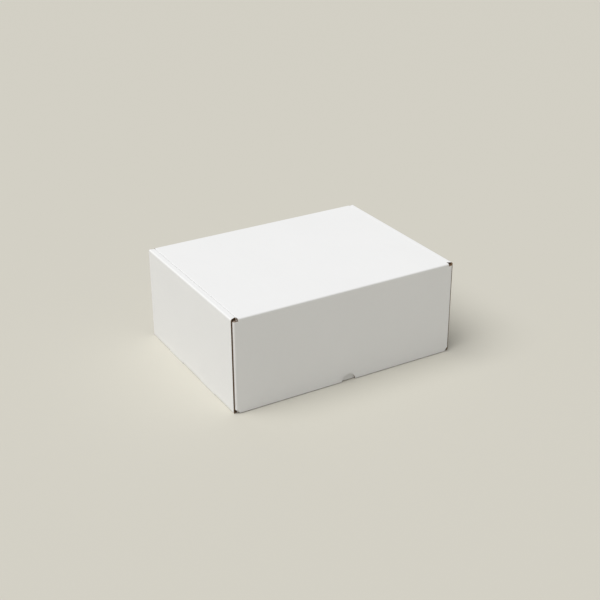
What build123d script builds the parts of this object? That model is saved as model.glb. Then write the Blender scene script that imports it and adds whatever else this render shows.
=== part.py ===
from build123d import *
import os
from math import cos, radians, sin

# Corrugated mailer box, closed, standing on its bottom panel. Millimetres, +Z up, the front
# towards -Y, and the origin under the middle of the bottom. It is one die-cut sheet: a tray
# whose double side walls roll over its corner ears, a lid creased to the rear wall, and a front
# flap creased to the lid, which hangs outside the front wall with a locking wing at each end.

# Closed box, over its outer faces
WIDTH = 300.0
DEPTH = 225.0
HEIGHT = 120.0

# Board, and the bend of a creased fold
BOARD = 1.6
FOLD_INNER = 0.3

# Outer radius of the creases that are pressed square, where the lid meets the side walls
STRIP_EDGE_RADIUS = 0.4
LID_EDGE_RADIUS = 0.7

# Running gaps between the layers
WING_GAP = 0.35
LAYER_GAP = 0.3
DUST_GAP = 0.3
FLAP_GAP = 0.35
LID_GAP = 0.3

# Outer side walls, and the strips that roll over to the inner side panels
WALL_FRONT_INSET = 2.6
WALL_REAR_INSET = 0.2
STRIP_DROP = 0.5
INNER_FRONT_CLEARANCE = 1.95
INNER_REAR_CLEARANCE = 0.4
INNER_CORNER = 3.0

# Lock tabs of the inner side panels, and their slots beside the bottom's side creases
TAB_LENGTH = 38.0
TAB_SPACING = 88.0
TAB_END_GAP = 0.5
TAB_TIP_HEIGHT = 0.3
SLOT_EDGE_HEIGHT = 0.5
SLOT_SIDE_GAP = 0.3

# Corner ears of the front and rear walls
EAR_LENGTH = 50.0
EAR_EDGE_INSET = 3.0
EAR_TAPER = 6.0

# Corner reliefs at the ends of the lid's two creases
RELIEF_DROP = 3.3

# Dust flaps of the lid
DUST_DEPTH = 36.0
DUST_END_GAP = 0.5
DUST_TAPER = 7.0

# Front flap and its thumb notch
FLAP_FLOOR_GAP = 0.8
FLAP_CORNER_RISE = 4.2
FLAP_CORNER_WIDTH = 3.8
NOTCH_RADIUS = 9.25
NOTCH_OFFSET = 2.0
NOTCH_CENTRE_HEIGHT = 0.2

# Locking wings of the front flap
WING_LENGTH = 45.0
WING_TOP_TAPER = 4.0
WING_LOWER_TAPER = 9.0

# Faces and levels that several panels share
FOLD_OUTER = FOLD_INNER + BOARD
WALL_X = WIDTH / 2
WING_X = WALL_X - BOARD - WING_GAP
EAR_X = WING_X - BOARD - LAYER_GAP
INNER_X = EAR_X - BOARD - LAYER_GAP
DUST_X = INNER_X - BOARD - DUST_GAP
REAR_EAR_X = WALL_X - BOARD - LAYER_GAP
FLAP_Y = -DEPTH / 2
FRONT_Y = FLAP_Y + BOARD + FLAP_GAP
REAR_Y = DEPTH / 2
WALL_FRONT_Y = FLAP_Y + WALL_FRONT_INSET
WALL_REAR_Y = REAR_Y - WALL_REAR_INSET
INNER_FRONT_Y = FRONT_Y + BOARD + INNER_FRONT_CLEARANCE
INNER_REAR_Y = REAR_Y - BOARD - INNER_REAR_CLEARANCE
MIDDLE_Y = (FRONT_Y + REAR_Y) / 2
STRIP_Z = HEIGHT - STRIP_DROP
LID_UNDER_Z = HEIGHT - BOARD
RELIEF_Z = HEIGHT - RELIEF_DROP
FRONT_TOP_Z = LID_UNDER_Z - LID_GAP
LID_FOLD_Z = HEIGHT - FOLD_OUTER


def place(axis, a, b, along):
    """Point from its two coordinates across an axis, in X, Y, Z order, and its station along it."""
    return {"x": (along, a, b), "y": (a, along, b), "z": (a, b, along)}[axis]


def prism(axis, outline, start, end):
    """Flat outline, given across the axis, thickened from one station to another."""
    corners = [place(axis, a, b, start) for a, b in outline]
    face = make_face(Polyline(*corners, close=True))
    return extrude(face, amount=end - start, dir=place(axis, 0, 0, 1))


def block(x, y, z):
    """Box between two corners, each pair given low to high."""
    return prism("z", [(x[0], y[0]), (x[1], y[0]), (x[1], y[1]), (x[0], y[1])], *z)


def fold(axis, centre, first, last, start, end):
    """Bent board: a ring sector about a centre across the axis, between two angles in degrees."""

    def at(radius, degrees):
        a = centre[0] + radius * cos(radians(degrees))
        b = centre[1] + radius * sin(radians(degrees))
        return place(axis, a, b, start)

    half_way = (first + last) / 2
    edges = [
        ThreePointArc(at(FOLD_OUTER, first), at(FOLD_OUTER, half_way), at(FOLD_OUTER, last)),
        Line(at(FOLD_OUTER, last), at(FOLD_INNER, last)),
        ThreePointArc(at(FOLD_INNER, last), at(FOLD_INNER, half_way), at(FOLD_INNER, first)),
        Line(at(FOLD_INNER, first), at(FOLD_OUTER, first)),
    ]
    return extrude(make_face(edges), amount=end - start, dir=place(axis, 0, 0, 1))


def pressed_fold(corner, inwards, radius, start, end):
    """Crease along Y that is pressed square, with its outer corner, in X and Z, rounded a little.

    inwards gives the directions from that corner into the board, 1 or -1 in X and in Z.
    """

    def at(x, z):
        return (corner[0] + inwards[0] * x, start, corner[1] + inwards[1] * z)

    near = radius * (1 - cos(radians(45)))
    edges = [
        ThreePointArc(at(radius, 0), at(near, near), at(0, radius)),
        Polyline(at(0, radius), at(0, BOARD), at(BOARD, BOARD), at(BOARD, 0), at(radius, 0)),
    ]
    return extrude(make_face(edges), amount=end - start, dir=(0, 1, 0))


def both_sides(right):
    """A right-hand panel with its mirror image on the left."""
    return right + mirror(right, about=Plane.YZ)


def bottom_panel():
    """Bottom, with the side, front and rear creases that turn up from it."""
    side = WALL_X - FOLD_OUTER
    front = FRONT_Y + FOLD_OUTER
    rear = REAR_Y - FOLD_OUTER
    panel = block((-side, side), (front, rear), (0, BOARD))
    panel += fold("x", (front, FOLD_OUTER), 180, 270, -EAR_X, EAR_X)
    panel += fold("x", (rear, FOLD_OUTER), 270, 360, -REAR_EAR_X, REAR_EAR_X)
    return panel + both_sides(fold("y", (side, FOLD_OUTER), 270, 360, WALL_FRONT_Y, WALL_REAR_Y))


def front_wall():
    """Front wall behind the flap, with a corner ear folded back from each end."""
    wall = block((-EAR_X, EAR_X), (FRONT_Y, FRONT_Y + BOARD), (FOLD_OUTER, FRONT_TOP_Z))
    return cut_ends(wall, EAR_X) + both_sides(ear(EAR_X, FRONT_Y + FOLD_OUTER, 1))


def rear_wall():
    """Rear wall, with its ears and its half of the lid's crease."""
    wall = block((-REAR_EAR_X, REAR_EAR_X), (REAR_Y - BOARD, REAR_Y), (FOLD_OUTER, RELIEF_Z))
    wall += block((-DUST_X, DUST_X), (REAR_Y - BOARD, REAR_Y), (RELIEF_Z, LID_FOLD_Z))
    wall += fold("x", (REAR_Y - FOLD_OUTER, LID_FOLD_Z), 0, 45, -DUST_X, DUST_X)
    return cut_ends(wall, REAR_EAR_X) + both_sides(ear(REAR_EAR_X, REAR_Y - FOLD_OUTER, -1))


def cut_ends(wall, x):
    """Takes off a wall's square ends where its ears bend away."""
    end = block((x - FOLD_OUTER, x + FOLD_OUTER), (FLAP_Y, REAR_Y), (ear_low(), HEIGHT))
    return wall - both_sides(end)


def ear_low():
    """Lowest level of the ears, just above the bottom's creases."""
    return BOARD + EAR_EDGE_INSET


def ear(x, fold_y, inwards):
    """Right-hand ear with its outer face at x, bent from the wall whose fold is at fold_y."""
    low, high = ear_low(), RELIEF_Z
    tip = fold_y + inwards * (EAR_LENGTH - FOLD_OUTER)
    outline = [(fold_y, low), (tip, low + EAR_TAPER), (tip, high - EAR_TAPER), (fold_y, high)]
    first = 270 if inwards > 0 else 0
    bend = fold("z", (x - FOLD_OUTER, fold_y), first, first + 90, low, high)
    return prism("x", outline, x - BOARD, x) + bend


def tab_centres():
    """Middles of the two lock tabs along a side."""
    return [MIDDLE_Y - TAB_SPACING / 2, MIDDLE_Y + TAB_SPACING / 2]


def side_wall():
    """Right-hand double wall: outer panel, the strip over the top, and the inner panel."""
    upright = (FOLD_OUTER, STRIP_Z - FOLD_OUTER)
    outer = block((WALL_X - BOARD, WALL_X), (WALL_FRONT_Y, WALL_REAR_Y), upright)
    return outer + roll_over_strip() + inner_panel()


def roll_over_strip():
    """Strip over the side wall, with a crease along each edge and slanted ends."""
    outer_fold_x = WALL_X - FOLD_OUTER
    level = STRIP_Z - FOLD_OUTER
    ends = (WALL_FRONT_Y, WALL_REAR_Y)
    strip = block((INNER_X, outer_fold_x), ends, (STRIP_Z - BOARD, STRIP_Z))
    strip += fold("y", (outer_fold_x, level), 0, 90, *ends)
    strip += pressed_fold((INNER_X - BOARD, STRIP_Z), (1, -1), STRIP_EDGE_RADIUS, *ends)
    plan = [
        (WALL_X, WALL_FRONT_Y),
        (WALL_X, WALL_REAR_Y),
        (INNER_X, INNER_REAR_Y),
        (INNER_X - BOARD, INNER_REAR_Y),
        (INNER_X - BOARD, INNER_FRONT_Y),
        (INNER_X, INNER_FRONT_Y),
    ]
    return strip & prism("z", plan, level - BOARD, STRIP_Z)


def inner_panel():
    """Inner side panel, down to the bottom panel, with its two lock tabs."""
    corner = INNER_CORNER
    outline = [
        (INNER_FRONT_Y, STRIP_Z - BOARD),
        (INNER_FRONT_Y, BOARD + corner),
        (INNER_FRONT_Y + corner, BOARD),
        (INNER_REAR_Y - corner, BOARD),
        (INNER_REAR_Y, BOARD + corner),
        (INNER_REAR_Y, STRIP_Z - BOARD),
    ]
    panel = prism("x", outline, INNER_X - BOARD, INNER_X)
    for y in tab_centres():
        half = TAB_LENGTH / 2 - TAB_END_GAP
        panel += block((INNER_X - BOARD, INNER_X), (y - half, y + half), (TAB_TIP_HEIGHT, BOARD))
    return panel


def slot_cutters():
    """Spaces of the four lock slots, from behind the inner panels out through the side creases."""
    cutters = []
    for y in tab_centres():
        half = TAB_LENGTH / 2
        inner = INNER_X - BOARD - SLOT_SIDE_GAP
        cutters.append(block((inner, WALL_X), (y - half, y + half), (0, FOLD_OUTER)))
    return both_sides(Part() + cutters)


def slot_lips():
    """Raw lower edges of the outer panels along the four slots, straight down past the crease."""
    lips = []
    for y in tab_centres():
        half = TAB_LENGTH / 2
        lips.append(block((WALL_X - BOARD, WALL_X), (y - half, y + half), (SLOT_EDGE_HEIGHT, FOLD_OUTER)))
    return both_sides(Part() + lips)


def make_tray():
    """Bottom, walls, ears and rolled-over sides, folded from one piece."""
    base = bottom_panel() - slot_cutters() + slot_lips()
    return base + front_wall() + rear_wall() + both_sides(side_wall())


def dust_flap():
    """Right-hand flap that hangs from the lid's side edge, inside the side wall."""
    front, rear = dust_ends()
    low = HEIGHT - DUST_DEPTH
    outline = [
        (front, LID_UNDER_Z),
        (front + DUST_TAPER, low),
        (rear - DUST_TAPER, low),
        (rear, LID_UNDER_Z),
    ]
    bend = pressed_fold((DUST_X, HEIGHT), (-1, -1), LID_EDGE_RADIUS, front, rear)
    return prism("x", outline, DUST_X - BOARD, DUST_X) + bend


def dust_ends():
    """Front and rear ends of the dust flaps' creases, clear of the front and rear walls."""
    return FRONT_Y + BOARD + DUST_END_GAP, REAR_Y - BOARD - DUST_END_GAP


def make_lid():
    """Lid panel with its dust flaps, and its halves of the rear and front creases."""
    front_fold = FLAP_Y + FOLD_OUTER
    rear_fold = REAR_Y - FOLD_OUTER
    front, rear = dust_ends()
    side = DUST_X - BOARD
    panel = block((-side, side), (front_fold, rear_fold), (LID_UNDER_Z, HEIGHT))
    panel += block((-DUST_X, DUST_X), (front_fold, front), (LID_UNDER_Z, HEIGHT))
    panel += block((-DUST_X, DUST_X), (rear, rear_fold), (LID_UNDER_Z, HEIGHT))
    panel += fold("x", (rear_fold, LID_FOLD_Z), 45, 90, -DUST_X, DUST_X)
    panel += fold("x", (front_fold, LID_FOLD_Z), 90, 135, -DUST_X, DUST_X)
    return panel + both_sides(dust_flap())


def make_front_flap():
    """Front flap outside the front wall, with its thumb notch and cut lower corners."""
    fold_x = WING_X - FOLD_OUTER
    wing_low = FLAP_FLOOR_GAP + FLAP_CORNER_RISE
    foot = WING_X - FLAP_CORNER_WIDTH - FOLD_OUTER / 2
    outline = [
        (-foot, FLAP_FLOOR_GAP),
        (foot, FLAP_FLOOR_GAP),
        (fold_x, wing_low),
        (fold_x, RELIEF_Z),
        (DUST_X, RELIEF_Z),
        (DUST_X, LID_FOLD_Z),
        (-DUST_X, LID_FOLD_Z),
        (-DUST_X, RELIEF_Z),
        (-fold_x, RELIEF_Z),
        (-fold_x, wing_low),
    ]
    flap = prism("y", outline, FLAP_Y, FLAP_Y + BOARD)
    flap += fold("x", (FLAP_Y + FOLD_OUTER, LID_FOLD_Z), 135, 180, -DUST_X, DUST_X)
    flap += both_sides(fold("z", (fold_x, FLAP_Y + FOLD_OUTER), 270, 315, wing_low, RELIEF_Z))
    notch = Cylinder(NOTCH_RADIUS, 4 * BOARD, rotation=(90, 0, 0))
    return flap - Pos(NOTCH_OFFSET, FLAP_Y + BOARD / 2, NOTCH_CENTRE_HEIGHT) * notch


def make_right_wing():
    """Right-hand locking wing, bent back from the flap's end into the slot of the side wall."""
    fold_x, fold_y = WING_X - FOLD_OUTER, FLAP_Y + FOLD_OUTER
    low = FLAP_FLOOR_GAP + FLAP_CORNER_RISE
    tip = fold_y + WING_LENGTH
    outline = [
        (fold_y, low),
        (tip, low + WING_LOWER_TAPER),
        (tip, RELIEF_Z - WING_TOP_TAPER),
        (fold_y, RELIEF_Z),
    ]
    bend = fold("z", (fold_x, fold_y), 315, 360, low, RELIEF_Z)
    return prism("x", outline, WING_X - BOARD, WING_X) + bend


def main():
    right_wing = make_right_wing()
    nodes = {
        "tray": make_tray(),
        "lid": make_lid(),
        "front_flap": make_front_flap(),
        "right_wing": right_wing,
        "left_wing": mirror(right_wing, about=Plane.YZ),
    }
    os.makedirs("parts", exist_ok=True)
    for name, shape in nodes.items():
        export_step(shape, f"parts/{name}.step")


main()
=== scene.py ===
import logging
import math
from dataclasses import dataclass, field
from enum import Enum
from typing import Callable, Sequence

import bmesh
import bpy
from mathutils import Matrix, Vector


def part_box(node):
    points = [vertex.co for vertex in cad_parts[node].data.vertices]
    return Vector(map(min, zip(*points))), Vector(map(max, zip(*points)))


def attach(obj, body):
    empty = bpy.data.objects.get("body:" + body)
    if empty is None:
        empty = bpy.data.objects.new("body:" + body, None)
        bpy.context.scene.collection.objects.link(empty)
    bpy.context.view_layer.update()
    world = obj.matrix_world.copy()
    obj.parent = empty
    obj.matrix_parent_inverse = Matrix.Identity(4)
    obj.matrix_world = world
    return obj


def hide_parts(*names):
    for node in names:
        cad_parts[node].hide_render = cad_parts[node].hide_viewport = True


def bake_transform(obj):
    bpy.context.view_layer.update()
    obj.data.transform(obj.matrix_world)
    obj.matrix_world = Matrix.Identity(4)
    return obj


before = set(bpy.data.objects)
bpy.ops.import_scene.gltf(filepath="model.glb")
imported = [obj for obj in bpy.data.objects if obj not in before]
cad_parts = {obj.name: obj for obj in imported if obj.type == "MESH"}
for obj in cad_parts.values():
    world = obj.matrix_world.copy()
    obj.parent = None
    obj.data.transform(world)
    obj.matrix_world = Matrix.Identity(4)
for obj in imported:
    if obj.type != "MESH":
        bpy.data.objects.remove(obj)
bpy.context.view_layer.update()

# Closed corrugated mailer box: white-lined E-flute board, kraft inside.
# Metres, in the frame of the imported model.

MM = 0.001
SHARP = math.radians(35)  # edges that turn more than this are shaded sharp
LOG = logging.getLogger("mailer")


class Finish(Enum):
    """The three finishes of the board, by their place in a piece's material list."""

    WHITE = 0
    KRAFT = 1
    RAW = 2


@dataclass(frozen=True)
class Board:
    """E-flute board and the bend of its creased folds."""

    thickness: float = 1.6 * MM
    liner: float = 0.24 * MM
    fluting: float = 0.16 * MM
    pitch: float = 3.3 * MM
    fold_inner: float = 0.3 * MM
    attribute: str = "across_flutes"

    @property
    def fold_outer(self) -> float:
        """Outer radius of a fold."""
        return self.fold_inner + self.thickness

    @property
    def wave(self) -> float:
        """Half the height of the fluting's wave."""
        return (self.thickness - 2 * self.liner - self.fluting) / 2


BOARD = Board()


@dataclass(frozen=True)
class Gaps:
    """Running gaps and insets between the layers of the closed box."""

    layer: float = 0.3 * MM
    wing: float = 0.35 * MM
    flap: float = 0.35 * MM
    wall_front: float = 2.6 * MM
    wall_rear: float = 0.2 * MM
    inner_front: float = 1.95 * MM
    inner_rear: float = 0.4 * MM
    dust_end: float = 0.5 * MM
    lid: float = 0.3 * MM


GAPS = Gaps()


@dataclass(frozen=True)
class Sizes:
    """Faces and levels of the closed box that several panels share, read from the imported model."""

    wall_x: float
    wing_x: float
    ear_x: float
    inner_x: float
    dust_x: float
    rear_ear_x: float
    wall_front: float
    wall_rear: float
    flap_y: float
    front_y: float
    rear_y: float
    inner_front: float
    inner_rear: float
    dust_front: float
    dust_rear: float
    strip_z: float
    top_z: float
    relief_z: float
    dust_low: float
    flap_low: float
    wing_low: float
    wing_tip: float

    @staticmethod
    def from_frame() -> "Sizes":
        """Works the shared sizes out from the nodes' boxes and the running gaps between layers.

        Returns:
            The sizes of the closed box at rest.
        """
        tray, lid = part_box("tray"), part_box("lid")
        flap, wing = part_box("front_flap"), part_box("right_wing")
        board = BOARD.thickness
        wall_x, wing_x, dust_x = tray[1][0], wing[1][0], lid[1][0]
        ear_x = wing_x - board - GAPS.layer
        flap_y, rear_y = flap[0][1], tray[1][1]
        front_y = flap_y + board + GAPS.flap
        return Sizes(
            wall_x=wall_x,
            wing_x=wing_x,
            ear_x=ear_x,
            inner_x=ear_x - board - GAPS.layer,
            dust_x=dust_x,
            rear_ear_x=wall_x - board - GAPS.layer,
            wall_front=flap_y + GAPS.wall_front,
            wall_rear=rear_y - GAPS.wall_rear,
            flap_y=flap_y,
            front_y=front_y,
            rear_y=rear_y,
            inner_front=front_y + board + GAPS.inner_front,
            inner_rear=rear_y - board - GAPS.inner_rear,
            dust_front=front_y + board + GAPS.dust_end,
            dust_rear=rear_y - board - GAPS.dust_end,
            strip_z=tray[1][2],
            top_z=lid[1][2],
            relief_z=wing[1][2],
            dust_low=lid[0][2],
            flap_low=flap[0][2],
            wing_low=wing[0][2],
            wing_tip=wing[1][1],
        )

    @property
    def crease_z(self) -> float:
        """Centre level of the lid's creases."""
        return self.top_z - BOARD.fold_outer


# Finishes


def socket(
    tree: bpy.types.NodeTree, name: str, kind: str, into: bool, value: float | None = None
) -> str:
    """Adds a named socket to a group.

    Args:
        tree: The node group.
        name: The socket's name.
        kind: Its type, such as Float.
        into: True for an input.
        value: Its default, if it has one.

    Returns:
        The socket's identifier.
    """
    item = tree.interface.new_socket(
        name=name, in_out="INPUT" if into else "OUTPUT", socket_type=f"NodeSocket{kind}"
    )
    if value is not None:
        item.default_value = value
    return item.identifier


def maths(tree: bpy.types.NodeTree, operation: str, a: object, b: object = None) -> bpy.types.NodeSocket:
    """Adds a Math node.

    Args:
        tree: The node tree.
        operation: The node's operation.
        a: First value, a number or a socket.
        b: Second value, if the operation takes one.

    Returns:
        The node's output socket.
    """
    node = tree.nodes.new("ShaderNodeMath")
    node.operation = operation
    for place, value in enumerate((a, b)):
        if isinstance(value, bpy.types.NodeSocket):
            tree.links.new(value, node.inputs[place])
        elif value is not None:
            node.inputs[place].default_value = value
    return node.outputs[0]


def grain_group() -> bpy.types.NodeTree:
    """Paper grain: a fine tooth, long fibres and a slow mottle.

    Returns:
        A group with a Tooth height, a Fibre mask and a Mottle mask, each 0 to 1.
    """
    tree = bpy.data.node_groups.new("paper_grain", "ShaderNodeTree")
    socket(tree, "Tooth Scale", "Float", True, 1400.0)
    socket(tree, "Fibre Scale", "Float", True, 260.0)
    socket(tree, "Mottle Scale", "Float", True, 14.0)
    for name in ("Tooth", "Fibre", "Mottle"):
        socket(tree, name, "Float", False)
    start, end = tree.nodes.new("NodeGroupInput"), tree.nodes.new("NodeGroupOutput")
    place = tree.nodes.new("ShaderNodeTexCoord")
    stretch = tree.nodes.new("ShaderNodeMapping")
    stretch.inputs["Scale"].default_value = (1.0, 0.16, 1.0)
    tree.links.new(place.outputs["Object"], stretch.inputs["Vector"])
    for name, source, detail in (
        ("Tooth", place.outputs["Object"], 3.0),
        ("Fibre", stretch.outputs["Vector"], 4.0),
        ("Mottle", place.outputs["Object"], 5.0),
    ):
        noise = tree.nodes.new("ShaderNodeTexNoise")
        noise.inputs["Detail"].default_value = detail
        tree.links.new(source, noise.inputs["Vector"])
        tree.links.new(start.outputs[f"{name} Scale"], noise.inputs["Scale"])
        tree.links.new(noise.outputs["Fac"], end.inputs[name])
    return tree


def washboard_group() -> bpy.types.NodeTree:
    """Flutes that show faintly through a liner, read from each face's place across the flutes.

    Returns:
        A group with one Height output, 0 to 1.
    """
    tree = bpy.data.node_groups.new("washboard", "ShaderNodeTree")
    socket(tree, "Pitch", "Float", True, BOARD.pitch)
    socket(tree, "Height", "Float", False)
    start, end = tree.nodes.new("NodeGroupInput"), tree.nodes.new("NodeGroupOutput")
    across = tree.nodes.new("ShaderNodeAttribute")
    across.attribute_name = BOARD.attribute
    turns = maths(tree, "DIVIDE", across.outputs["Fac"], start.outputs["Pitch"])
    wave = maths(tree, "SINE", maths(tree, "MULTIPLY", turns, math.tau))
    tree.links.new(maths(tree, "MULTIPLY", maths(tree, "ADD", wave, 1.0), 0.5), end.inputs["Height"])
    return tree


@dataclass(frozen=True)
class PaperFinish:
    """One liner or edge finish."""

    name: str
    light: tuple[float, float, float]
    dark: tuple[float, float, float]
    roughness: float
    flute_show: float
    tooth: float
    fibre_share: float
    specular: float = 0.3
    relief: float = 0.1 * MM

    def material(self, grain: bpy.types.NodeTree, washboard: bpy.types.NodeTree) -> bpy.types.Material:
        """Builds the material.

        Args:
            grain: The paper grain group.
            washboard: The flutes' show-through group.

        Returns:
            The finished material.
        """
        made = bpy.data.materials.new(self.name)
        made.use_nodes = True
        tree = made.node_tree
        shader = tree.nodes["Principled BSDF"]
        shader.inputs["Roughness"].default_value = self.roughness
        shader.inputs["Specular IOR Level"].default_value = self.specular
        paper = tree.nodes.new("ShaderNodeGroup")
        paper.node_tree = grain
        ribs = tree.nodes.new("ShaderNodeGroup")
        ribs.node_tree = washboard
        fibre = maths(tree, "MULTIPLY", paper.outputs["Fibre"], self.fibre_share)
        slow = maths(tree, "MULTIPLY", paper.outputs["Mottle"], 1 - self.fibre_share)
        mix = tree.nodes.new("ShaderNodeMix")
        mix.data_type = "RGBA"
        tree.links.new(maths(tree, "ADD", fibre, slow), mix.inputs["Factor"])
        mix.inputs["A"].default_value = (*self.light, 1)
        mix.inputs["B"].default_value = (*self.dark, 1)
        tree.links.new(mix.outputs["Result"], shader.inputs["Base Color"])
        height = maths(tree, "MULTIPLY", ribs.outputs["Height"], self.flute_show)
        height = maths(tree, "ADD", height, maths(tree, "MULTIPLY", paper.outputs["Tooth"], self.tooth))
        bump = tree.nodes.new("ShaderNodeBump")
        bump.inputs["Distance"].default_value = self.relief
        bump.inputs["Strength"].default_value = 1.0
        tree.links.new(height, bump.inputs["Height"])
        tree.links.new(bump.outputs["Normal"], shader.inputs["Normal"])
        return made


FINISHES = {
    Finish.WHITE: PaperFinish(
        "white_liner", (0.885, 0.885, 0.88), (0.84, 0.84, 0.835), 0.55, 0.16, 0.10, 0.3
    ),
    Finish.KRAFT: PaperFinish(
        "kraft_liner", (0.46, 0.30, 0.175), (0.30, 0.185, 0.10), 0.75, 0.22, 0.25, 0.6
    ),
    Finish.RAW: PaperFinish(
        "raw_edge", (0.33, 0.225, 0.14), (0.17, 0.105, 0.06), 0.85, 0.0, 0.4, 0.5
    ),
}


# Fluting


@dataclass
class FluteMaker:
    """Geometry Nodes tree that makes a panel's fluting, and its use for each panel."""

    material: bpy.types.Material
    steps: int = 10
    tree: bpy.types.NodeTree = field(init=False)
    sockets: dict[str, str] = field(init=False, default_factory=dict)

    def __post_init__(self) -> None:
        """Builds the tree."""
        self.tree = bpy.data.node_groups.new("fluting", "GeometryNodeTree")
        names = ("Start", "Width", "Low Start", "Low End", "High Start", "High End")
        names += ("Pitch", "Wave", "Paper", "Notch Radius", "Notch Centre", "Notch Level")
        for name in names:
            self.sockets[name] = socket(self.tree, name, "Float", True, 0.0)
        self.sockets["Material"] = socket(self.tree, "Material", "Material", True)
        socket(self.tree, "Geometry", "Geometry", False)
        self._build()

    def _mix(self, a: bpy.types.NodeSocket, b: bpy.types.NodeSocket, t: object) -> bpy.types.NodeSocket:
        """Goes from a to b as t goes from 0 to 1."""
        return maths(self.tree, "ADD", a, maths(self.tree, "MULTIPLY", maths(self.tree, "SUBTRACT", b, a), t))

    def _build(self) -> None:
        """Grid, wave, thickness and material."""
        tree = self.tree
        start, end = tree.nodes.new("NodeGroupInput").outputs, tree.nodes.new("NodeGroupOutput")
        grid = tree.nodes.new("GeometryNodeMeshGrid")
        grid.inputs["Size X"].default_value = 1.0
        grid.inputs["Size Y"].default_value = 1.0
        columns = maths(tree, "DIVIDE", start["Width"], start["Pitch"])
        columns = maths(tree, "CEIL", maths(tree, "MULTIPLY", columns, float(self.steps)))
        tree.links.new(maths(tree, "ADD", columns, 2.0), grid.inputs["Vertices X"])
        grid.inputs["Vertices Y"].default_value = 2
        place = tree.nodes.new("ShaderNodeSeparateXYZ")
        tree.links.new(tree.nodes.new("GeometryNodeInputPosition").outputs[0], place.inputs[0])
        share = maths(tree, "ADD", place.outputs["X"], 0.5)
        rise = maths(tree, "ADD", place.outputs["Y"], 0.5)
        across = maths(tree, "ADD", start["Start"], maths(tree, "MULTIPLY", share, start["Width"]))
        low = self._mix(start["Low Start"], start["Low End"], share)
        high = self._mix(start["High Start"], start["High End"], share)
        off = maths(tree, "SUBTRACT", across, start["Notch Centre"])
        inside = maths(tree, "POWER", start["Notch Radius"], 2.0)
        inside = maths(tree, "SUBTRACT", inside, maths(tree, "MULTIPLY", off, off))
        arch = maths(tree, "SQRT", maths(tree, "MAXIMUM", inside, 0.0))
        low = maths(tree, "MAXIMUM", low, maths(tree, "ADD", start["Notch Level"], arch))
        turns = maths(tree, "DIVIDE", across, start["Pitch"])
        wave = maths(tree, "SINE", maths(tree, "MULTIPLY", turns, math.tau))
        wave = maths(tree, "MULTIPLY", wave, start["Wave"])
        wave = maths(tree, "SUBTRACT", wave, maths(tree, "MULTIPLY", start["Paper"], 0.5))
        target = tree.nodes.new("ShaderNodeCombineXYZ")
        for name, value in zip("XYZ", (across, self._mix(low, high, rise), wave)):
            tree.links.new(value, target.inputs[name])
        move = tree.nodes.new("GeometryNodeSetPosition")
        tree.links.new(grid.outputs["Mesh"], move.inputs["Geometry"])
        tree.links.new(target.outputs[0], move.inputs["Position"])
        thick = tree.nodes.new("GeometryNodeExtrudeMesh")
        thick.inputs["Individual"].default_value = False
        tree.links.new(move.outputs[0], thick.inputs["Mesh"])
        tree.links.new(start["Paper"], thick.inputs["Offset Scale"])
        under = tree.nodes.new("GeometryNodeFlipFaces")
        tree.links.new(move.outputs[0], under.inputs["Mesh"])
        join = tree.nodes.new("GeometryNodeJoinGeometry")
        weld = tree.nodes.new("GeometryNodeMergeByDistance")
        weld.inputs["Distance"].default_value = 1e-6
        real = tree.nodes.new("GeometryNodeRealizeInstances")
        dress = tree.nodes.new("GeometryNodeSetMaterial")
        tree.links.new(under.outputs[0], join.inputs[0])
        tree.links.new(thick.outputs["Mesh"], join.inputs[0])
        for source, into in ((join, weld), (weld, real), (real, dress)):
            tree.links.new(source.outputs[0], into.inputs[0])
        tree.links.new(start["Material"], dress.inputs["Material"])
        tree.links.new(dress.outputs[0], end.inputs["Geometry"])

    def make(self, values: dict[str, float]) -> bpy.types.Mesh:
        """Makes one stretch of fluting, with X across the flutes, Y along them and Z out of the board.

        Args:
            values: The stretch's sizes, by input name.

        Returns:
            A plain mesh.
        """
        holder = bpy.data.objects.new("fluting", bpy.data.meshes.new("fluting"))
        bpy.context.scene.collection.objects.link(holder)
        modifier = holder.modifiers.new("fluting", "NODES")
        modifier.node_group = self.tree
        sizes = {"Pitch": BOARD.pitch, "Wave": BOARD.wave, "Paper": BOARD.fluting, **values}
        for name, value in sizes.items():
            modifier[self.sockets[name]] = value
        modifier[self.sockets["Material"]] = self.material
        graph = bpy.context.evaluated_depsgraph_get()
        mesh = bpy.data.meshes.new_from_object(holder.evaluated_get(graph))
        holder.modifiers.remove(modifier)
        bpy.data.objects.remove(holder)
        return mesh


# Board


@dataclass(frozen=True)
class Plane:
    """Where a panel lies: u across its flutes, v along them, and out of its outer liner."""

    across: Vector
    along: Vector
    out: Vector
    face: float

    def matrix(self) -> Matrix:
        """Matrix from (u, v, height above the outer face) to the box."""
        columns = Matrix((self.across, self.along, self.out)).transposed().to_4x4()
        return Matrix.Translation(self.out * self.face) @ columns


@dataclass(frozen=True)
class Stretch:
    """Fluting between two stations across the flutes, with straight lower and upper ends."""

    start: float
    end: float
    low: tuple[float, float]
    high: tuple[float, float]
    notch: tuple[float, float, float] = (0.0, 0.0, -1.0)

    def values(self) -> dict[str, float]:
        """The Geometry Nodes inputs for this stretch."""
        names = (
            "Low Start",
            "Low End",
            "High Start",
            "High End",
            "Notch Radius",
            "Notch Centre",
            "Notch Level",
        )
        sizes = (*self.low, *self.high, *self.notch)
        return {"Start": self.start, "Width": self.end - self.start, **dict(zip(names, sizes))}


def sector(
    centre: float, radius: float, level: float, floor: float, steps: int = 28
) -> list[tuple[float, float]]:
    """Points of a half-round notch that is open below.

    Args:
        centre: Its centre across the panel.
        radius: Its radius.
        level: Its centre's height.
        floor: The height of the panel's lower edge.
        steps: How many sides its arc has.

    Returns:
        Points from the arc's right end over its top to its left end.
    """
    first = math.asin((floor - level) / radius)
    angles = [first + (math.pi - 2 * first) * k / steps for k in range(steps + 1)]
    return [(centre + radius * math.cos(a), level + radius * math.sin(a)) for a in angles]


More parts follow.
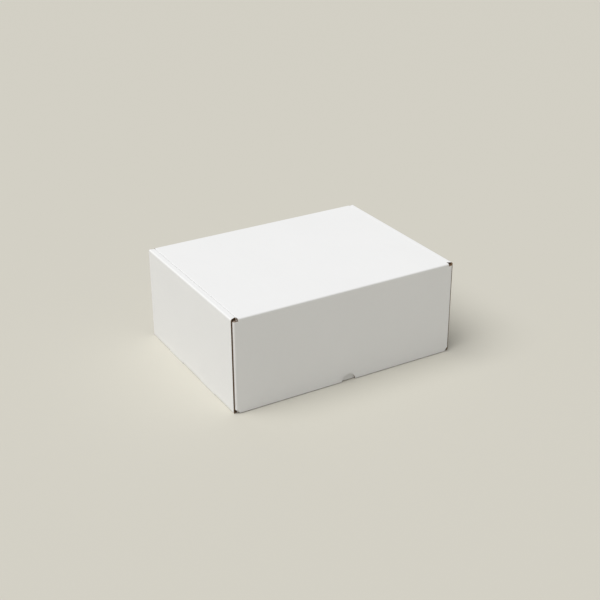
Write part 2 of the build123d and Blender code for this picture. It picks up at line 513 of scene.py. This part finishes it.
class Sheet:
    """One piece of board: its liners, fluting and bends, gathered into one mesh."""

    def __init__(self, name: str, flutes: FluteMaker) -> None:
        """Starts an empty piece.

        Args:
            name: The piece's name.
            flutes: What makes its fluting.
        """
        self.name = name
        self.flutes = flutes
        self.mesh = bmesh.new()
        self.across = self.mesh.verts.layers.float.new(BOARD.attribute)

    def _faces(
        self,
        rings: list[list[Vector]],
        across: list[list[float]],
        finish: Sequence[Finish],
        smooth: bool = False,
    ) -> None:
        """Closed tube of faces between rings of points, capped at both ends.

        Args:
            rings: Rings of as many points each, one after another.
            across: Each point's place across the flutes.
            finish: A finish for each side of a ring, then for the two caps.
            smooth: True if the sides are shaded as one curve.
        """
        made = []
        for ring, places in zip(rings, across):
            row = [self.mesh.verts.new(point) for point in ring]
            for vertex, place in zip(row, places):
                vertex[self.across] = place
            made.append(row)
        size = len(rings[0])
        for lower, upper in zip(made, made[1:]):
            for k in range(size):
                after = (k + 1) % size
                side = self.mesh.faces.new((lower[k], lower[after], upper[after], upper[k]))
                side.material_index = finish[k].value
                side.smooth = smooth
        for row, kind in ((made[0][::-1], finish[size]), (made[-1], finish[size + 1])):
            self.mesh.faces.new(row).material_index = kind.value

    def panel(
        self, plane: Plane, outline: list[tuple[float, float]], stretches: Sequence[Stretch]
    ) -> None:
        """Adds a flat panel: a white outer liner, a kraft inner liner and the fluting between.

        Args:
            plane: Where it lies.
            outline: Its corners, (u, v), in order.
            stretches: Its fluting.
        """
        place = plane.matrix()
        liners = (
            (-BOARD.liner, 0.0, Finish.RAW, Finish.WHITE),
            (-BOARD.thickness, BOARD.liner - BOARD.thickness, Finish.KRAFT, Finish.RAW),
        )
        for under, over, below, above in liners:
            rings = [[place @ Vector((u, v, level)) for u, v in outline] for level in (under, over)]
            places = [[u for u, _ in outline]] * 2
            self._faces(rings, places, [Finish.RAW] * len(outline) + [below, above])
        middle = place @ Matrix.Translation((0, 0, -BOARD.thickness / 2))
        for stretch in stretches:
            mesh = self.flutes.make(stretch.values())
            mesh.transform(middle)
            before = len(self.mesh.faces)
            self.mesh.from_mesh(mesh)
            self.mesh.faces.ensure_lookup_table()
            for face in self.mesh.faces[before:]:
                face.material_index = Finish.RAW.value
            bpy.data.meshes.remove(mesh)

    def bend(
        self,
        axis: str,
        centre: tuple[float, float],
        angles: tuple[float, float],
        low: tuple[float, float],
        high: tuple[float, float],
        steps: int = 10,
    ) -> None:
        """Adds a bent stretch of board about an axis.

        Args:
            axis: The axis that it bends about, X, Y or Z.
            centre: Its centre across that axis, in X, Y, Z order.
            angles: Its first and last angle, in degrees.
            low: Its lower end along the axis, at the first and last angle.
            high: Its upper end, the same.
            steps: How many flats the bend has.
        """
        rings, places = [], []
        for k in range(steps + 1):
            share = k / steps
            turn = math.radians(angles[0] + (angles[1] - angles[0]) * share)
            ends = [a + (b - a) * share for a, b in (low, high)]
            ring, place = [], []
            for radius, end in ((1, 0), (1, 1), (0, 1), (0, 0)):
                reach = BOARD.fold_outer if radius else BOARD.fold_inner
                a, b = centre[0] + reach * math.cos(turn), centre[1] + reach * math.sin(turn)
                along = ends[end]
                ring.append(Vector({"X": (along, a, b), "Y": (a, along, b), "Z": (a, b, along)}[axis]))
                place.append(along if axis == "X" else BOARD.fold_outer * turn)
            rings.append(ring)
            places.append(place)
        finish = [Finish.WHITE, Finish.RAW, Finish.KRAFT, Finish.RAW, Finish.RAW, Finish.RAW]
        self._faces(rings, places, finish, smooth=True)

    def pressed(
        self,
        corner: tuple[float, float],
        inwards: tuple[int, int],
        radius: float,
        ends: Callable[[float], tuple[float, float]],
        steps: int = 6,
    ) -> None:
        """Adds a crease along Y that is pressed square, with its outer corner rounded a little.

        Args:
            corner: Its outer corner, in X and Z.
            inwards: Directions from that corner into the board, 1 or -1 in X and in Z.
            radius: Radius of the rounded corner.
            ends: Gives the front and rear end at a distance from the middle of the box.
            steps: How many flats the rounded corner has.
        """
        board = BOARD.thickness
        angles = [math.radians(270 - 90 * k / steps) for k in range(steps + 1)]
        profile = [(board, 0.0)]
        profile += [(radius + radius * math.cos(a), radius + radius * math.sin(a)) for a in angles]
        profile += [(0.0, board), (board, board)]
        points = [(corner[0] + inwards[0] * a, corner[1] + inwards[1] * b) for a, b in profile]
        rings = [[Vector((x, ends(abs(x))[end], z)) for x, z in points] for end in (0, 1)]
        finish = [Finish.WHITE] * (len(points) - 2) + [Finish.KRAFT] * 2 + [Finish.RAW] * 2
        self._faces(rings, [[x for x, _ in points]] * 2, finish, smooth=True)

    def mirrored(self, draw: Callable[[int], None]) -> None:
        """Draws something on the right and on the left.

        Args:
            draw: Takes 1 for the right-hand side and -1 for the left.
        """
        draw(1)
        draw(-1)

    def finish(self, materials: Sequence[bpy.types.Material]) -> bpy.types.Object:
        """Makes the object.

        Args:
            materials: The finishes, in the order of Finish.

        Returns:
            The finished piece, in place.
        """
        bmesh.ops.recalc_face_normals(self.mesh, faces=self.mesh.faces[:])
        for edge in self.mesh.edges:
            edge.smooth = len(edge.link_faces) == 2 and edge.calc_face_angle(0.0) < SHARP
        mesh = bpy.data.meshes.new(self.name)
        self.mesh.to_mesh(mesh)
        self.mesh.free()
        for material in materials:
            mesh.materials.append(material)
        piece = bpy.data.objects.new(self.name, mesh)
        bpy.context.scene.collection.objects.link(piece)
        LOG.info("%s: %d faces", self.name, len(mesh.polygons))
        return piece


X, Y, Z = Vector((1, 0, 0)), Vector((0, 1, 0)), Vector((0, 0, 1))


def rectangle(u: tuple[float, float], v: tuple[float, float]) -> list[tuple[float, float]]:
    """Corners of a rectangle from its two ranges."""
    return [(u[0], v[0]), (u[1], v[0]), (u[1], v[1]), (u[0], v[1])]


def even(u: tuple[float, float], v: tuple[float, float]) -> Stretch:
    """Fluting with square ends."""
    return Stretch(u[0], u[1], (v[0], v[0]), (v[1], v[1]))


@dataclass
class Tray:
    """Bottom, walls, ears and rolled-over sides."""

    size: Sizes
    tab_length: float = 38 * MM
    tab_spacing: float = 88 * MM
    tab_end_gap: float = 0.5 * MM
    tab_tip: float = 0.3 * MM
    slot_edge: float = 0.5 * MM
    slot_gap: float = 0.3 * MM
    ear_length: float = 50 * MM
    ear_inset: float = 3 * MM
    ear_taper: float = 6 * MM
    corner: float = 3 * MM
    edge_radius: float = 0.4 * MM

    def build(self, flutes: FluteMaker) -> Sheet:
        """Draws the whole tray.

        Args:
            flutes: What makes its fluting.

        Returns:
            The tray as one sheet.
        """
        sheet = Sheet("tray_board", flutes)
        self._bottom(sheet)
        self._front(sheet)
        self._rear(sheet)
        sheet.mirrored(lambda side: self._side(sheet, side))
        return sheet

    def _slots(self) -> list[tuple[float, float]]:
        """Front and rear end of each lock slot."""
        middle = (self.size.front_y + self.size.rear_y) / 2
        centres = [middle + k * self.tab_spacing / 2 for k in (-1, 1)]
        return [(y - self.tab_length / 2, y + self.tab_length / 2) for y in centres]

    def _between_slots(self, front: float, rear: float) -> list[tuple[float, float]]:
        """Stretches of the bottom's side edge that no slot takes."""
        ends = [front, *(y for slot in self._slots() for y in slot), rear]
        return list(zip(ends[::2], ends[1::2]))

    def _bottom(self, sheet: Sheet) -> None:
        """Bottom panel, its slots and its four creases."""
        s, bend = self.size, BOARD.fold_outer
        plane = Plane(X, Y, -Z, 0.0)
        front, rear = s.front_y + bend, s.rear_y - bend
        inner = s.inner_x - BOARD.thickness - self.slot_gap
        edge = s.wall_x - bend
        across = (-inner, inner)
        sheet.panel(plane, rectangle(across, (front, rear)), [even(across, (front, rear))])
        for side in (1, -1):
            across = (inner, edge) if side > 0 else (-edge, -inner)
            for ends in self._between_slots(front, rear):
                sheet.panel(plane, rectangle(across, ends), [even(across, ends)])
            angles = (270, 360) if side > 0 else (270, 180)
            for ends in self._between_slots(s.wall_front, s.wall_rear):
                low, high = (ends[0], ends[0]), (ends[1], ends[1])
                sheet.bend("Y", (side * edge, bend), angles, low, high)
        reach = s.ear_x
        sheet.bend("X", (front, bend), (180, 270), (-reach, -reach), (reach, reach))
        reach = s.rear_ear_x
        sheet.bend("X", (rear, bend), (270, 360), (-reach, -reach), (reach, reach))

    def _wall(self, sheet: Sheet, plane: Plane, half: float, top: list[tuple[float, float]]) -> None:
        """Front or rear wall.

        Args:
            sheet: The sheet.
            plane: The wall's plane.
            half: Half its width, over its ears.
            top: Its right-hand top corners, (x, z), from the end inwards.
        """
        bend = BOARD.fold_outer
        low, ear = bend, BOARD.thickness + self.ear_inset
        right = [(half, low), (half, ear), (half - bend, ear), *top]
        outline = right + [(-x, z) for x, z in reversed(right)]
        stretches = [even((-top[-1][0], top[-1][0]), (low, top[-1][1]))]
        for side in (1, -1):
            ends = sorted((side * top[-1][0], side * (half - bend)))
            if ends[1] - ends[0] > MM:
                stretches.append(even((ends[0], ends[1]), (low, top[0][1])))
        sheet.panel(plane, outline, stretches)

    def _front(self, sheet: Sheet) -> None:
        """Front wall and its ears."""
        s = self.size
        top = s.top_z - BOARD.thickness - GAPS.lid
        self._wall(sheet, Plane(X, Z, -Y, -s.front_y), s.ear_x, [(s.ear_x - BOARD.fold_outer, top)])
        sheet.mirrored(lambda side: self._ear(sheet, side, s.ear_x, s.front_y + BOARD.fold_outer, 1))

    def _rear(self, sheet: Sheet) -> None:
        """Rear wall and its ears."""
        s = self.size
        half = s.rear_ear_x
        top = [(half - BOARD.fold_outer, s.relief_z), (s.dust_x, s.relief_z), (s.dust_x, s.crease_z)]
        self._wall(sheet, Plane(X, Z, Y, s.rear_y), half, top)
        sheet.mirrored(lambda side: self._ear(sheet, side, half, s.rear_y - BOARD.fold_outer, -1))

    def _ear(self, sheet: Sheet, side: int, x: float, fold_y: float, inwards: int) -> None:
        """Corner ear.

        Args:
            sheet: The sheet.
            side: 1 on the right, -1 on the left.
            x: Its outer face's distance from the middle.
            fold_y: Centre of its bend.
            inwards: 1 if it points to the rear, -1 to the front.
        """
        low, high = BOARD.thickness + self.ear_inset, self.size.relief_z
        tip = fold_y + inwards * (self.ear_length - BOARD.fold_outer)
        taper = self.ear_taper
        outline = [(fold_y, low), (tip, low + taper), (tip, high - taper), (fold_y, high)]
        if inwards > 0:
            stretch = Stretch(fold_y, tip, (low, low + taper), (high, high - taper))
        else:
            stretch = Stretch(tip, fold_y, (low + taper, low), (high - taper, high))
        sheet.panel(Plane(Y, Z, side * X, x), outline, [stretch])
        wall = 270 if inwards > 0 else 90
        end = (360 if inwards > 0 else 0) if side > 0 else 180
        sheet.bend("Z", (side * (x - BOARD.fold_outer), fold_y), (wall, end), (low, low), (high, high))

    def _side(self, sheet: Sheet, side: int) -> None:
        """Double side wall with its roll-over strip.

        Args:
            sheet: The sheet.
            side: 1 on the right, -1 on the left.
        """
        s, bend = self.size, BOARD.fold_outer
        level = s.strip_z - bend
        front, rear = s.wall_front, s.wall_rear
        outer = Plane(Z, Y, side * X, s.wall_x)
        outline = [(bend, front)]
        for low, high in self._slots():
            outline += [(bend, low), (self.slot_edge, low), (self.slot_edge, high), (bend, high)]
        outline += [(bend, rear), (level, rear), (level, front)]
        lips = [even((self.slot_edge, bend), ends) for ends in self._slots()]
        sheet.panel(outer, outline, [even((bend, level), (front, rear)), *lips])
        self._strip(sheet, side, level)
        self._inner(sheet, side, s.strip_z - BOARD.thickness)

    def _strip(self, sheet: Sheet, side: int, level: float) -> None:
        """Strip over the wall's top, with slanted ends.

        Args:
            sheet: The sheet.
            side: 1 on the right, -1 on the left.
            level: Centre height of its outer bend.
        """
        s, bend = self.size, BOARD.fold_outer
        outer_x, inner_x = s.wall_x - bend, s.inner_x

        def ends(x: float) -> tuple[float, float]:
            """Front and rear end of the strip at a distance from the middle."""
            share = min(1.0, (s.wall_x - x) / (s.wall_x - inner_x))
            front = s.wall_front + (s.inner_front - s.wall_front) * share
            return front, s.wall_rear + (s.inner_rear - s.wall_rear) * share

        (f0, r0), (f1, r1), (f2, r2) = ends(s.wall_x), ends(outer_x), ends(inner_x)
        angles = (0, 90) if side > 0 else (180, 90)
        sheet.bend("Y", (side * outer_x, level), angles, (f0, f1), (r0, r1))
        corner = (side * (inner_x - BOARD.thickness), s.strip_z)
        sheet.pressed(corner, (side, -1), self.edge_radius, ends)
        outline = [
            (side * inner_x, f2),
            (side * outer_x, f1),
            (side * outer_x, r1),
            (side * inner_x, r2),
        ]
        pair = (inner_x, outer_x) if side > 0 else (-outer_x, -inner_x)
        low, high = ((f2, f1), (r2, r1)) if side > 0 else ((f1, f2), (r1, r2))
        sheet.panel(Plane(X, Y, Z, s.strip_z), outline, [Stretch(*pair, low, high)])

    def _inner(self, sheet: Sheet, side: int, level: float) -> None:
        """Inner side panel and its lock tabs, white side into the box.

        Args:
            sheet: The sheet.
            side: 1 on the right, -1 on the left.
            level: Its top.
        """
        s, c, low = self.size, self.corner, BOARD.thickness
        front, rear = s.inner_front, s.inner_rear
        outline = [(level, front), (low + c, front), (low, front + c)]
        tabs = [(a + self.tab_end_gap, b - self.tab_end_gap) for a, b in self._slots()]
        for a, b in tabs:
            outline += [(low, a), (self.tab_tip, a), (self.tab_tip, b), (low, b)]
        outline += [(low, rear - c), (low + c, rear), (level, rear)]
        plane = Plane(Z, Y, -side * X, BOARD.thickness - s.inner_x)
        stretches = [even((low + c, level), (front, rear))]
        stretches.append(Stretch(low, low + c, (front + c, front), (rear - c, rear)))
        stretches += [even((self.tab_tip, low), tab) for tab in tabs]
        sheet.panel(plane, outline, stretches)


@dataclass
class Lid:
    """Lid panel and its dust flaps."""

    size: Sizes
    taper: float = 7 * MM
    edge_radius: float = 0.7 * MM

    def build(self, flutes: FluteMaker) -> Sheet:
        """Draws the lid.

        Args:
            flutes: What makes its fluting.

        Returns:
            The lid as one sheet.
        """
        s, bend = self.size, BOARD.fold_outer
        sheet = Sheet("lid_board", flutes)
        front, rear, edge = s.flap_y + bend, s.rear_y - bend, s.dust_x - BOARD.thickness
        right = [
            (s.dust_x, front),
            (s.dust_x, s.dust_front),
            (edge, s.dust_front),
            (edge, s.dust_rear),
            (s.dust_x, s.dust_rear),
            (s.dust_x, rear),
        ]
        outline = right + [(-x, y) for x, y in reversed(right)]
        sheet.panel(Plane(X, Y, Z, s.top_z), outline, [even((-edge, edge), (front, rear))])
        sheet.mirrored(lambda side: self._dust_flap(sheet, side))
        return sheet

    def _dust_flap(self, sheet: Sheet, side: int) -> None:
        """Dust flap, inside the side wall.

        Args:
            sheet: The sheet.
            side: 1 on the right, -1 on the left.
        """
        s = self.size
        front, rear, low, high = s.dust_front, s.dust_rear, s.dust_low, s.top_z - BOARD.thickness
        t = self.taper
        outline = [(low, front + t), (low, rear - t), (high, rear), (high, front)]
        stretch = Stretch(low, high, (front + t, front), (rear - t, rear))
        sheet.panel(Plane(Z, Y, side * X, s.dust_x), outline, [stretch])
        corner = (side * s.dust_x, s.top_z)
        sheet.pressed(corner, (-side, -1), self.edge_radius, lambda _: (front, rear))


@dataclass
class FrontFlap:
    """Front flap with its thumb notch, and its locking wings."""

    size: Sizes
    notch_radius: float = 9.25 * MM
    notch_offset: float = 2 * MM
    notch_level: float = 0.2 * MM
    corner: float = 3.8 * MM
    wing_top: float = 4 * MM
    wing_bottom: float = 9 * MM

    def build(self, flutes: FluteMaker) -> Sheet:
        """Draws the flap.

        Args:
            flutes: What makes its fluting.

        Returns:
            The flap as one sheet.
        """
        s = self.size
        sheet = Sheet("flap_board", flutes)
        end = s.wing_x - BOARD.fold_outer
        foot = s.wing_x - self.corner - BOARD.fold_outer / 2
        low, up, top = s.flap_low, s.wing_low, s.crease_z
        right = [(foot, low), (end, up), (end, s.relief_z), (s.dust_x, s.relief_z), (s.dust_x, top)]
        notch = sector(self.notch_offset, self.notch_radius, self.notch_level, low)
        outline = right + [(-x, z) for x, z in reversed(right)] + notch[::-1]
        hole = (self.notch_radius, self.notch_offset, self.notch_level)
        reach = s.dust_x
        stretches = [Stretch(-reach, reach, (low, low), (top, top), hole)]
        relief = (s.relief_z, s.relief_z)
        stretches += [
            Stretch(reach, foot, (low, low), relief),
            Stretch(foot, end, (low, up), relief),
            Stretch(-foot, -reach, (low, low), relief),
            Stretch(-end, -foot, (up, low), relief),
        ]
        sheet.panel(Plane(X, Z, -Y, -s.flap_y), outline, stretches)
        return sheet

    def wing(self, flutes: FluteMaker, side: int, name: str) -> Sheet:
        """Draws a locking wing with its whole bend.

        Args:
            flutes: What makes its fluting.
            side: 1 on the right, -1 on the left.
            name: The piece's name.

        Returns:
            The wing as one sheet.
        """
        s, bend = self.size, BOARD.fold_outer
        sheet = Sheet(name, flutes)
        fold_y, low, high = s.flap_y + bend, s.wing_low, s.relief_z
        tip_low, tip_high = low + self.wing_bottom, high - self.wing_top
        outline = [(fold_y, low), (s.wing_tip, tip_low), (s.wing_tip, tip_high), (fold_y, high)]
        stretch = Stretch(fold_y, s.wing_tip, (low, tip_low), (high, tip_high))
        sheet.panel(Plane(Y, Z, side * X, s.wing_x), outline, [stretch])
        angles = (270, 360) if side > 0 else (270, 180)
        sheet.bend("Z", (side * (s.wing_x - bend), fold_y), angles, (low, low), (high, high))
        return sheet


class Crease:
    """A crease along one end of the lid, as one bent strip of board."""

    def __init__(self, name: str, bodies: Sequence[str], rear: bool) -> None:
        """Names the crease.

        Args:
            name: The piece's name.
            bodies: The one body that it is part of, or the one that stays and the one that turns.
            rear: True for the lid's rear crease.
        """
        self.name = name
        self.bodies = bodies
        self.rear = rear

    def build(
        self, size: Sizes, flutes: FluteMaker, materials: Sequence[bpy.types.Material]
    ) -> bpy.types.Object:
        """Draws the crease and gives it to its body, or, if it lies between two bodies, gives it to neither
        and bakes its placement into its mesh.

        Args:
            size: The box's sizes.
            flutes: What makes fluting, though a crease has none left.
            materials: The finishes, in the order of Finish.

        Returns:
            The finished piece.
        """
        bend = BOARD.fold_outer
        y = size.rear_y - bend if self.rear else size.flap_y + bend
        sheet = Sheet(self.name, flutes)
        angles = (0, 90) if self.rear else (90, 180)
        reach = size.dust_x
        sheet.bend("X", (y, size.crease_z), angles, (-reach, -reach), (reach, reach), steps=24)
        piece = sheet.finish(materials)
        if len(self.bodies) == 1:
            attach(piece, self.bodies[0])
        else:
            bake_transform(piece)
        return piece


# Studio


@dataclass(frozen=True)
class Studio:
    """Pale floor, soft light and the camera."""

    floor: tuple[float, float, float] = (0.62, 0.60, 0.53)
    floor_reach: float = 12.0
    floor_roughness: float = 0.9
    floor_specular: float = 0.1
    sky: float = 0.34
    key: float = 2.49
    key_from: tuple[float, float, float] = (-0.44, 0.0, 0.90)
    key_width: float = 50.0
    eye: tuple[float, float, float] = (-0.6361, -1.0981, 0.6806)
    turn: tuple[float, float, float] = (-30.1193, 26.0627, -0.2208)
    lens: float = 68.2

    def build(self) -> None:
        """Makes the floor, the light, the world and the camera."""
        self._floor()
        self._world()
        self._key()
        self._camera()

    def _floor(self) -> None:
        """Large plain floor, just under the box."""
        mesh = bpy.data.meshes.new("floor")
        reach = self.floor_reach
        corners = [(-reach, -reach, 0), (reach, -reach, 0), (reach, reach, 0), (-reach, reach, 0)]
        mesh.from_pydata(corners, [], [(0, 1, 2, 3)])
        made = bpy.data.materials.new("floor")
        made.use_nodes = True
        shader = made.node_tree.nodes["Principled BSDF"]
        shader.inputs["Base Color"].default_value = (*self.floor, 1)
        shader.inputs["Roughness"].default_value = self.floor_roughness
        shader.inputs["Specular IOR Level"].default_value = self.floor_specular
        mesh.materials.append(made)
        floor = bpy.data.objects.new("floor", mesh)
        bpy.context.scene.collection.objects.link(floor)

    def _world(self) -> None:
        """Even sky light, shown to the camera in the floor's colour."""
        world = bpy.data.worlds.new("studio")
        world.use_nodes = True
        tree = world.node_tree
        light = tree.nodes["Background"]
        light.inputs["Color"].default_value = (1, 1, 1, 1)
        light.inputs["Strength"].default_value = self.sky
        shown = tree.nodes.new("ShaderNodeBackground")
        shown.inputs["Color"].default_value = (*self.floor, 1)
        path = tree.nodes.new("ShaderNodeLightPath")
        mix = tree.nodes.new("ShaderNodeMixShader")
        tree.links.new(path.outputs["Is Camera Ray"], mix.inputs["Fac"])
        tree.links.new(light.outputs[0], mix.inputs[1])
        tree.links.new(shown.outputs[0], mix.inputs[2])
        tree.links.new(mix.outputs[0], tree.nodes["World Output"].inputs["Surface"])
        bpy.context.scene.world = world

    def _key(self) -> None:
        """One wide lamp from above the left side."""
        lamp = bpy.data.lights.new("key", "SUN")
        lamp.energy = self.key
        lamp.angle = math.radians(self.key_width)
        key = bpy.data.objects.new("key", lamp)
        key.rotation_euler = Vector(self.key_from).to_track_quat("Z", "Y").to_euler()
        bpy.context.scene.collection.objects.link(key)

    def _camera(self) -> None:
        """Camera at the front left, above the box."""
        azimuth, elevation, roll = (math.radians(a) for a in self.turn)
        right = Vector((math.cos(azimuth), math.sin(azimuth), 0))
        back = Vector((
            math.sin(azimuth) * math.cos(elevation),
            -math.cos(azimuth) * math.cos(elevation),
            math.sin(elevation),
        ))
        up = back.cross(right)
        turned = Matrix((right, up, back)).transposed() @ Matrix.Rotation(roll, 3, "Z")
        data = bpy.data.cameras.new("camera")
        data.lens = self.lens
        camera = bpy.data.objects.new("camera", data)
        camera.matrix_world = Matrix.Translation(self.eye) @ turned.to_4x4()
        bpy.context.scene.collection.objects.link(camera)
        bpy.context.scene.camera = camera


def main() -> None:
    """Builds the box, its finishes and the studio, in order."""
    logging.basicConfig(level=logging.INFO, format="%(name)s: %(message)s")
    bpy.context.scene.view_settings.view_transform = "Standard"
    grain, washboard = grain_group(), washboard_group()
    materials = [FINISHES[kind].material(grain, washboard) for kind in Finish]
    size = Sizes.from_frame()
    flutes = FluteMaker(materials[Finish.RAW.value])
    front = FrontFlap(size)
    for sheet, node, body in (
        (Tray(size).build(flutes), "tray", "box"),
        (Lid(size).build(flutes), "lid", "box"),
        (front.build(flutes), "front_flap", "front_flap"),
        (front.wing(flutes, 1, "right_wing_board"), "right_wing", "front_flap"),
        (front.wing(flutes, -1, "left_wing_board"), "left_wing", "front_flap"),
    ):
        piece = sheet.finish(materials)
        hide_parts(node)
        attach(piece, body)
    for crease in (
        Crease("lid_crease", ("box",), True),
        Crease("flap_crease", ("box", "front_flap"), False),
    ):
        crease.build(size, flutes, materials)
    Studio().build()


if __name__ == "__main__":
    main()
